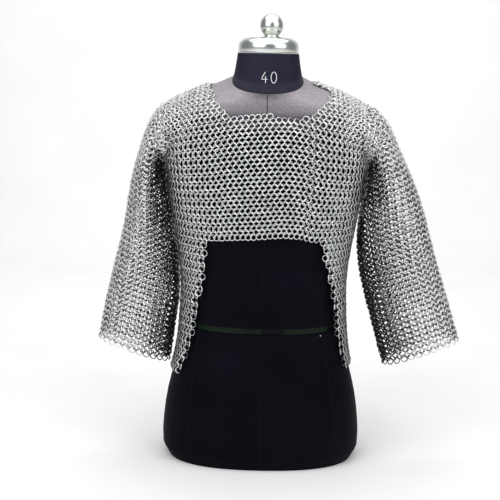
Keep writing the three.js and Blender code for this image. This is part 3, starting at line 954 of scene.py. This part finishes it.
def lathe(name, profile, aside=0.0):
    """A turned piece about an upright axis, from radius and height pairs."""
    turns = turns_round(TURNED_SIDES)
    points = [
        (aside + radius * math.cos(turn), AXIS_Y + radius * math.sin(turn), height)
        for radius, height in profile
        for turn in turns
    ]
    item = mesh_object(name, np.array(points), grid_quads(len(profile), TURNED_SIDES, True))
    close_ends(item)
    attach(item, "root")
    return item


def arc(radius, tall, middle_radius, middle_height, start, end, steps):
    """Profile points on part of an oval, by angles above the horizontal."""
    return [
        (middle_radius + radius * math.cos(turn), middle_height + tall * math.sin(turn))
        for turn in np.radians(np.linspace(start, end, steps))
    ]


def on_front(tree, x, z, out=0.0):
    """The point on the front of a surface at a place in the front view."""
    place, normal, _, _ = tree.ray_cast(Vector((x, IN_FRONT_Y, z)), Vector((0, 1, 0)), 1.0)
    return np.array(place + normal * out)


def seam_line(tree, route):
    """Points on the front of the form along a route of (across, height) places."""
    route = np.array(route)
    share = np.linspace(0, len(route) - 1, SEAM_POINTS)
    x = np.interp(share, np.arange(len(route)), route[:, 0])
    z = np.interp(share, np.arange(len(route)), route[:, 1])
    return [on_front(tree, a, b, SEAM_OUT) for a, b in zip(x, z)]


def finish_piece(item, material):
    paint(item, material)
    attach(item, "root")


def build_seams(lower, upper, rim, marks):
    """The form's seams, and the head of a pin."""
    thread = seam_material()
    lower_tree = BVHTree.FromObject(lower, bpy.context.evaluated_depsgraph_get())
    upper_tree = BVHTree.FromObject(upper, bpy.context.evaluated_depsgraph_get())
    lower_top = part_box("form_lower")[1][2] - SEAM_END
    upper_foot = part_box("form_upper")[0][2] + SEAM_END
    # Each seam's surface, and places across and up from its foot to its top.
    routes = {
        "form_seam_lower_middle": (lower_tree, [(0, 0.004), (0, lower_top)]),
        "form_seam_lower_left": (lower_tree, [(-0.140, 0.004), (-0.1335, 0.14), (-0.1215, lower_top)]),
        "form_seam_lower_right": (lower_tree, [(0.151, 0.010), (0.131, 0.16), (0.1135, lower_top)]),
        "form_seam_upper_middle": (upper_tree, [(0, upper_foot), (0, 0.60), (0, 0.712)]),
        "form_seam_upper_left": (upper_tree, [(-0.1175, upper_foot), (-0.119, 0.40), (-0.12, 0.55)]),
        "form_seam_upper_right": (upper_tree, [(0.1105, upper_foot), (0.1115, 0.40), (0.113, 0.55)]),
    }
    for name, (tree, route) in routes.items():
        finish_piece(tube(name, seam_line(tree, route), SEAM_RADIUS), thread)
    finish_piece(tube("form_seam_neck", rim, NECK_SEAM_RADIUS, closed=True), thread)
    # The head of a pin by the right seam, just below the waist.
    height = lower_top + PIN_PLACE[1]
    ends = [on_front(lower_tree, PIN_PLACE[0], height, out) for out in (0, PIN_OUT)]
    finish_piece(tube("form_pin_head", ends, PIN_RADIUS), marks)


def build_marks(neck, material):
    """The form's size, 40, painted on the neck in plain strokes."""
    tree = BVHTree.FromObject(neck, bpy.context.evaluated_depsgraph_get())
    # Places across and up, in heights of a digit, and the width of the two digits with their gap.
    four = [[(0.40, 1.0), (0.0, 0.33), (0.62, 0.33)], [(0.42, 0.62), (0.42, 0.0)]]
    middle, half_width = 1.18, 0.25
    turns = np.radians(np.arange(0, 361, 15))
    nought = [[(middle + half_width * math.sin(turn), 0.5 + 0.5 * math.cos(turn)) for turn in turns]]
    width = middle + half_width
    for number, stroke in enumerate(four + nought):
        points = []
        for start, end in zip(stroke, stroke[1:]):
            for part in np.linspace(0, 1, MARK_STEPS + 1)[:-1]:
                across = start[0] + (end[0] - start[0]) * part
                up = start[1] + (end[1] - start[1]) * part
                points.append((across, up))
        points.append(stroke[-1])
        line = [
            on_front(
                tree,
                MARK_PLACE[0] + (across - width / 2) * MARK_HEIGHT,
                MARK_PLACE[1] + (up - 0.5) * MARK_HEIGHT,
            )
            for across, up in points
        ]
        item = tube("form_mark_" + str(number), line, MARK_STROKE)
        finish_piece(item, material)


def build_cap(chrome):
    low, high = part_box("form_cap")
    radius = (high[0] - low[0]) / 2
    cap = lathe("form_cap_turned", [
        (radius - CAP_EDGE, low[2]),
        (radius, low[2] + CAP_EDGE),
        *arc(CAP_ROUND, CAP_SHOULDER, radius - CAP_ROUND, high[2] - CAP_SHOULDER, 0, ARC_END, CAP_STEPS),
        (CAP_EDGE, high[2]),
    ])
    paint(cap, chrome)
    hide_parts("form_cap")


def build_ball(chrome):
    low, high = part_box("form_ball")
    radius = (high[0] - low[0]) / 2
    foot = low[2]
    ball = lathe("form_ball_turned", [
        (BALL_FOOT_RADIUS, foot),
        (BALL_FOOT_RADIUS, foot + BALL_FOOT_FILLET / 2),
        (BALL_FOOT_RADIUS - BALL_WAIST, foot + BALL_FOOT_FILLET),
        *arc(radius, radius, 0, high[2] - radius, BALL_ARC_START, ARC_END, BALL_STEPS),
    ], (high[0] + low[0]) / 2)
    paint(ball, chrome)
    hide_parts("form_ball")


def build_form():
    # The last pair is the rise of the normals over which the painted sheen comes in.
    jersey = jersey_material("jersey", BODY_NAVY, (0.3, 0.75))
    neck_jersey = jersey_material("jersey_neck", NECK_NAVY, (0.16, 0.6))
    feet = {node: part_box(node)[0][2] + SKIN_GAP for node in ("form_lower", "form_upper", "form_waist_band")}
    tops = {node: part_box(node)[1][2] - SKIN_GAP for node in ("form_lower", "form_waist_band")}
    lower, _ = form_skin("form_lower_skin", "form_lower", feet["form_lower"], tops["form_lower"])
    upper, _ = form_skin(
        "form_upper_skin", "form_upper", feet["form_upper"], NECK_SEAM - SKIN_GAP,
        high_lean=NECK_LEAN,
    )
    neck, neck_skin = form_skin(
        "form_neck_skin", "form_neck", NECK_SEAM + 3 * SKIN_GAP, NECK_TOP - SKIN_GAP,
        low_lean=NECK_LEAN, level_step=NECK_SKIN_STEP,
    )
    band, _ = form_skin(
        "form_waist_band_skin", "form_waist_band", feet["form_waist_band"], tops["form_waist_band"],
    )
    for item in (lower, upper, neck):
        paint(item, neck_jersey if item is neck else jersey)
    paint(band, band_material())
    marks = paint_material()
    build_seams(lower, upper, neck_skin[0], marks)
    build_marks(neck, marks)
    chrome = chrome_material()
    build_cap(chrome)
    build_ball(chrome)


# Camera, light and floor

def build_camera():
    data = bpy.data.cameras.new("camera")
    data.sensor_width = SENSOR_MM
    data.lens = FOCAL_PIXELS / IMAGE_PIXELS * SENSOR_MM
    data.shift_x = -FRAME_SHIFT_PIXELS / IMAGE_PIXELS
    item = bpy.data.objects.new("camera", data)
    tip = Matrix.Rotation(math.radians(90) - CAMERA_PITCH, 4, "X")
    roll = Matrix.Rotation(CAMERA_ROLL, 4, "Z")
    item.matrix_world = Matrix.Translation(CAMERA_PLACE) @ tip @ roll
    bpy.context.scene.collection.objects.link(item)
    bpy.context.scene.camera = item


def area_light(name, place, target, size, watts):
    data = bpy.data.lights.new(name, "AREA")
    data.shape = "RECTANGLE"
    data.size = size[0]
    data.size_y = size[1]
    data.energy = watts
    item = bpy.data.objects.new(name, data)
    item.location = place
    way = Vector(target) - Vector(place)
    item.rotation_euler = way.to_track_quat("-Z", "Y").to_euler()
    bpy.context.scene.collection.objects.link(item)


def build_stage():
    floor_material, tree, shader = new_material("floor")
    pale = ramp(tree, noise(tree, 3, 2), [(0.3, (0.90, 0.90, 0.90)), (0.7, (0.94, 0.94, 0.94))])
    tree.links.new(pale, shader.inputs["Base Color"])
    shader.inputs["Roughness"].default_value = 0.9
    shader.inputs["Specular IOR Level"].default_value = 0.1
    sweep = []
    for share in np.linspace(0, 1, SWEEP_STEPS):
        turn = share * math.pi / 2
        back = SWEEP_START + SWEEP_RADIUS * math.sin(turn)
        sweep.append((back, SWEEP_RADIUS - SWEEP_RADIUS * math.cos(turn)))
    profile = [(FLOOR_FRONT, 0.0), *sweep, (SWEEP_START + SWEEP_RADIUS, WALL_TOP)]
    points = [(x, y, z) for y, z in profile for x in (-FLOOR_HALF_WIDTH, FLOOR_HALF_WIDTH)]
    floor = mesh_object("floor", np.array(points), grid_quads(len(profile), 2, False))
    paint(floor, floor_material)
    world = bpy.data.worlds.new("world")
    world.use_nodes = True
    background = world.node_tree.nodes["Background"]
    background.inputs["Color"].default_value = (*WORLD_COLOUR, 1)
    background.inputs["Strength"].default_value = WORLD_STRENGTH
    bpy.context.scene.world = world
    for row in LIGHTS:
        area_light(*row)
    bpy.context.scene.view_settings.view_transform = "Standard"


build_camera()
build_stage()
build_form()
steel = mail_material()
mail = Mail(MAIL_NODES)
mail.add(body_lattice(), closed_rows=False, closed_steps=True)
for side in ("left", "right"):
    mail.add(sleeve_lattice(side), closed_rows=True, closed_steps=False)
for panel in MAIL_NODES:
    mail.build(panel, steel)
print("rings in all", len(mail.rings))
